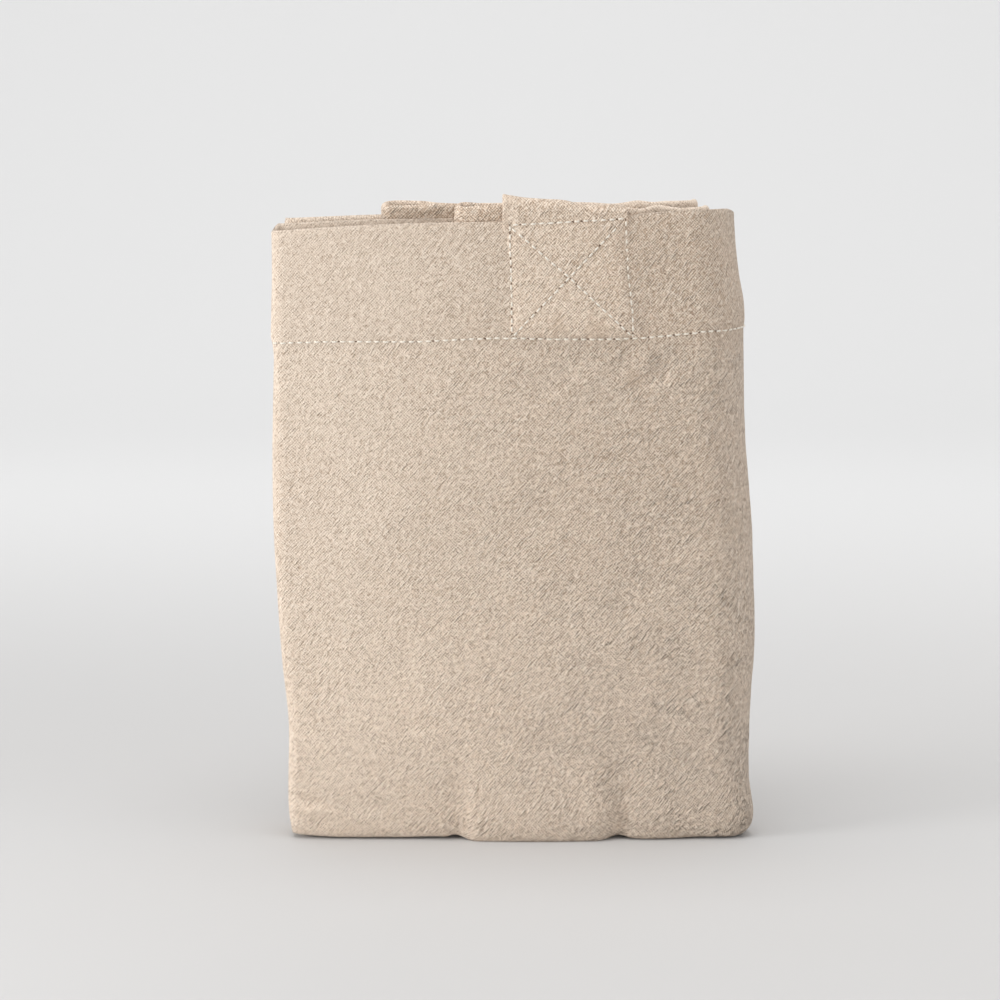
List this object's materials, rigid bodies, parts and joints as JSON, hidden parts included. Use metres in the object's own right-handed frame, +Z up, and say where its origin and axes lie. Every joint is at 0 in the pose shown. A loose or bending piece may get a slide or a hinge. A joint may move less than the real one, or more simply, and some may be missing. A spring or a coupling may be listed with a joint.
{
  "type": "folded cloth tote bag",
  "caption": "Natural washed cloth tote bag with two strap handles, folded into a flat packet that stands upright on its fold.",
  "frame": {"origin": "middle of the bounding box at its bottom, on the surface that the packet stands on", "axes": "+Z up, from the fold that it stands on towards the bag's mouth; +Y from the packet's front page, with the seen sewn handle end, towards its back page; +X to the right as seen from the front, towards the thick fold"},
  "size_m": [0.1547, 0.0512, 0.209],
  "materials": {
    "body_cloth": "matte washed plain weave with a crinkle",
    "strap_cloth": "matte washed plain weave, edge stitched"
  },
  "bodies": {
    "root": {"bag_body": "body_cloth", "front_handle": "strap_cloth", "back_handle": "strap_cloth"}
  },
  "joints": []
}
